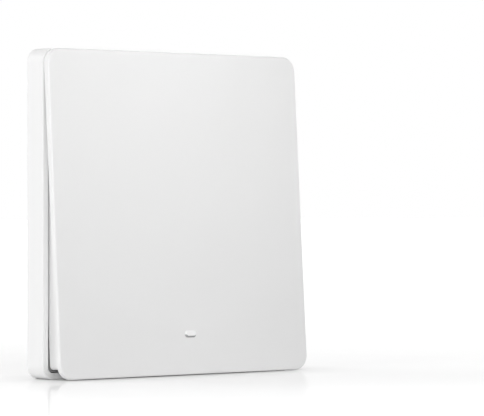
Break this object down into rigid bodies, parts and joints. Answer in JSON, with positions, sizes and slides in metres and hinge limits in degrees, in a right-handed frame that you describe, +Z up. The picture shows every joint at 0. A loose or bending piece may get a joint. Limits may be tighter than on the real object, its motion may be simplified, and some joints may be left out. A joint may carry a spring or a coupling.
{
  "type": "wireless wall switch",
  "caption": "Square wall switch: one large rocker, hinged at its top edge and sprung out at the bottom, over a shallow tray with a press-driven generator and a radio board.",
  "frame": {"origin": "centre of the tray's back face, which lies on the wall", "axes": "+Y into the wall, so the rocker faces -Y; +Z up the wall; +X to the right of someone who faces it"},
  "size_m": [0.086, 0.0146, 0.086],
  "materials": {
    "white_plastic": "satin moulded, fine grain",
    "cover_plastic": "satin moulded",
    "bracket_plastic": "satin moulded",
    "carrier_plastic": "satin moulded",
    "bobbin_plastic": "satin moulded",
    "pad_rubber": "matt",
    "spring_steel": "rolled",
    "core_iron": "stamped",
    "pin_steel": "ground",
    "magnet_nickel": "nickel plated",
    "winding_copper": "enamelled wire",
    "tinned_metal": "tinned",
    "screw_zinc": "zinc plated",
    "board_green": "solder mask",
    "chip_black": "moulded",
    "capacitor_tan": "moulded",
    "inductor_ferrite": "pressed ferrite",
    "crystal_can": "welded can",
    "small_chip_brown": "fired ceramic"
  },
  "bodies": {
    "base": {"base_housing": "white_plastic", "module_cover": "cover_plastic", "generator_bracket": "bracket_plastic", "coil_bobbin": "bobbin_plastic", "stop_pads": "pad_rubber", "return_springs": "spring_steel", "core_yoke": "core_iron", "coil_winding": "winding_copper", "coil_terminals": "tinned_metal", "antenna_strip": "tinned_metal", "bracket_screws": "screw_zinc", "cover_screws": "screw_zinc", "circuit_board": "board_green", "radio_chip": "chip_black", "rectifier_bridge": "chip_black", "storage_capacitors": "capacitor_tan", "power_inductor": "inductor_ferrite", "timing_crystal": "crystal_can", "chip_parts": "small_chip_brown"},
    "rocker": {"rocker_panel": "white_plastic"},
    "carrier": {"magnet_carrier": "carrier_plastic", "carrier_pins": "pin_steel", "magnet": "magnet_nickel", "front_pole_plate": "core_iron", "rear_pole_plate": "core_iron", "actuator_leaf": "spring_steel"}
  },
  "joints": [
    {"name": "rocker_press", "type": "hinge", "parent": "base", "child": "rocker", "pos_m": [0, -0.0043, 0.036], "axis": [1, 0, 0], "range_deg": [0, 2.6], "stiffness_Nm_per_rad": 3.5, "springref_deg": -1.72, "deforming": ["return_springs"]},
    {"name": "carrier_swing", "type": "hinge", "parent": "base", "child": "carrier", "pos_m": [0, -0.00386, 0.005], "axis": [1, 0, 0], "range_deg": [0, 8]}
  ],
  "couplings": [
    {"joint": "carrier_swing", "follows": "rocker_press", "ratio": 3.0769}
  ]
}
